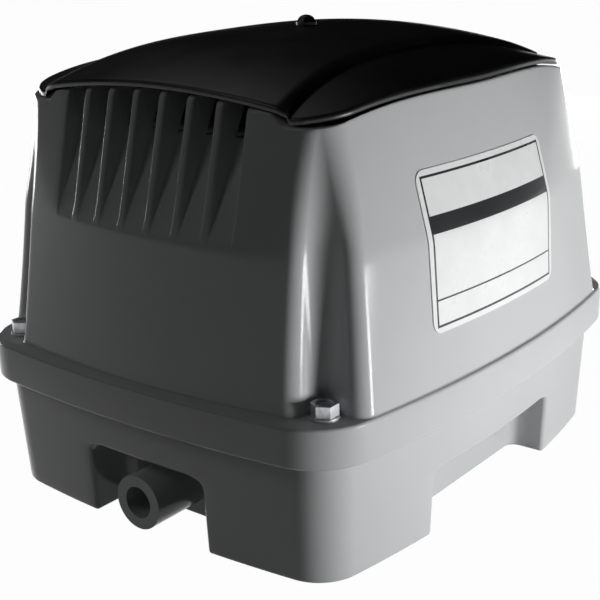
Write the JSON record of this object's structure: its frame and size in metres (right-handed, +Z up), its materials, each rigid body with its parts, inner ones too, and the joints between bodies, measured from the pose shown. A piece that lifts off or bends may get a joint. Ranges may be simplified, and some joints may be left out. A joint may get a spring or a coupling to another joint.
{
  "type": "linear diaphragm air pump",
  "caption": "Free-standing linear diaphragm air pump: grey two-part cast housing with vented end, black filter lid, outlet pipe, and a magnet-driven pump unit on rubber mounts inside",
  "frame": {"origin": "on the floor under the middle of the housing", "axes": "+X along the pump axis away from the outlet, +Y away from the label, +Z up"},
  "size_m": [0.21, 0.184, 0.1728],
  "materials": {
    "painted_alloy": "light grey gloss enamel on die-cast aluminium",
    "black_enamel": "satin black enamel on a pressed sheet lid",
    "black_rubber": "moulded black rubber",
    "zinc_steel": "bright zinc-plated steel",
    "black_steel": "black-coated steel screw",
    "filter_foam": "open-cell grey foam",
    "label_film": "blank film with plain bands",
    "cast_alloy": "bare cast aluminium",
    "lamination_iron": "stacked sheet-iron laminations",
    "ferrite": "dull sintered magnet",
    "nylon": "natural moulded nylon",
    "enamelled_copper": "lacquered copper wire, close wound",
    "lead_sleeve": "black flexible insulated lead"
  },
  "bodies": {
    "housing": {"lower_housing": "painted_alloy", "upper_housing": "painted_alloy", "seam_gasket": "black_rubber", "filter_foam": "filter_foam", "corner_bolts": "zinc_steel", "bolt_washers": "zinc_steel", "blank_label": "label_film", "outlet_pipe": "painted_alloy", "outlet_nut": "zinc_steel", "rubber_feet": "black_rubber", "cable_grommet": "black_rubber", "tank_plate": "cast_alloy", "tank_gasket": "black_rubber", "plate_screws": "zinc_steel", "vibration_mounts": "black_rubber", "mount_screws": "zinc_steel", "drive_frame": "cast_alloy", "magnet_cores": "lamination_iron", "core_screws": "zinc_steel", "coil_bobbins": "nylon", "coil_windings": "enamelled_copper", "diaphragm_left": "black_rubber", "diaphragm_right": "black_rubber", "pump_chambers": "nylon", "valve_plates": "nylon", "valve_boxes": "nylon", "head_screws": "zinc_steel", "discharge_hoses": "black_rubber", "terminal_block": "nylon", "coil_leads": "lead_sleeve"},
    "lid": {"filter_lid": "black_enamel"},
    "screw": {"lid_screw": "black_steel"},
    "armature": {"armature_bar": "cast_alloy", "armature_magnets": "ferrite", "inner_discs": "cast_alloy", "outer_discs": "cast_alloy", "rod_nuts": "zinc_steel"},
    "suction_left": {"suction_flap_left": "black_rubber"},
    "suction_right": {"suction_flap_right": "black_rubber"},
    "discharge_left": {"discharge_flap_left": "black_rubber"},
    "discharge_right": {"discharge_flap_right": "black_rubber"}
  },
  "joints": [
    {"name": "armature_slide", "type": "slide", "parent": "housing", "child": "armature", "axis": [1, 0, 0], "range_m": [-0.003, 0.003], "stiffness_N_per_m": 5000, "deforming": ["diaphragm_left", "diaphragm_right"]},
    {"name": "suction_flap_right_hinge", "type": "hinge", "parent": "housing", "child": "suction_right", "pos_m": [0.05341, 0, 0.12], "axis": [0, 1, 0], "range_deg": [0, 12], "stiffness_Nm_per_rad": 0.002},
    {"name": "suction_flap_left_hinge", "type": "hinge", "parent": "housing", "child": "suction_left", "pos_m": [-0.05341, 0, 0.12], "axis": [0, -1, 0], "range_deg": [0, 12], "stiffness_Nm_per_rad": 0.002},
    {"name": "discharge_flap_right_hinge", "type": "hinge", "parent": "housing", "child": "discharge_right", "pos_m": [0.05901, 0, 0.092], "axis": [0, -1, 0], "range_deg": [0, 12], "stiffness_Nm_per_rad": 0.002},
    {"name": "discharge_flap_left_hinge", "type": "hinge", "parent": "housing", "child": "discharge_left", "pos_m": [-0.05901, 0, 0.092], "axis": [0, 1, 0], "range_deg": [0, 12], "stiffness_Nm_per_rad": 0.002},
    {"name": "lid_lift", "type": "slide", "parent": "housing", "child": "lid", "axis": [0, 0, 1], "range_m": [0, 0.06]},
    {"name": "lid_screw_turn", "type": "hinge", "parent": "lid", "child": "screw", "pos_m": [0, 0, 0.169], "axis": [0, 0, 1], "continuous": true}
  ]
}
